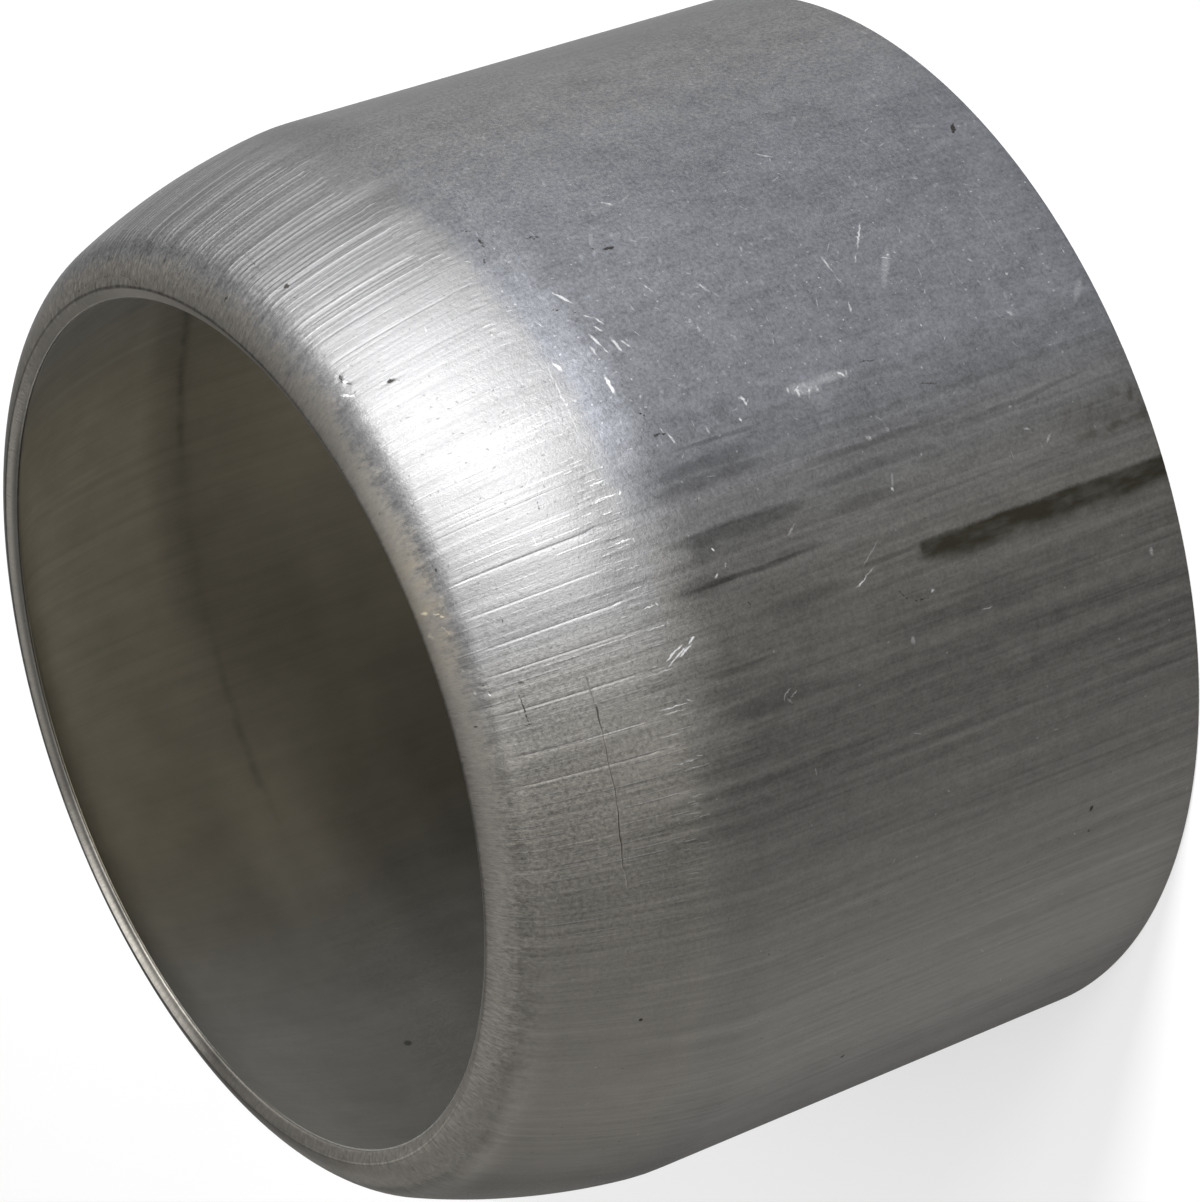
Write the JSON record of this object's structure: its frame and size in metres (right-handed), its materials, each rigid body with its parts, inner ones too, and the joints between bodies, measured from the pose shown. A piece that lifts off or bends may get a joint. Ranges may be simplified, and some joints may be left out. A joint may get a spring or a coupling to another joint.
{
  "type": "spacer sleeve",
  "caption": "Short thin-walled drawn aluminium tube, square-cut at its foot and rolled inwards at its top to a smaller round mouth; slips over a tube or shaft as a spacer.",
  "frame": {"origin": "centre of the square-cut end, in the plane that the sleeve stands on", "axes": "+Z along the sleeve's axis, from the square-cut end towards the rolled end and its mouth; X and Y lie across it, and the form is the same all round"},
  "size_m": [0.06, 0.06, 0.0415],
  "materials": {
    "drawn_aluminium": "bare drawn tube, satin with fine lines along the axis, rolled end scored and rubbed bright, worn and lightly soiled"
  },
  "bodies": {
    "root": {"sleeve": "drawn_aluminium"}
  },
  "joints": []
}
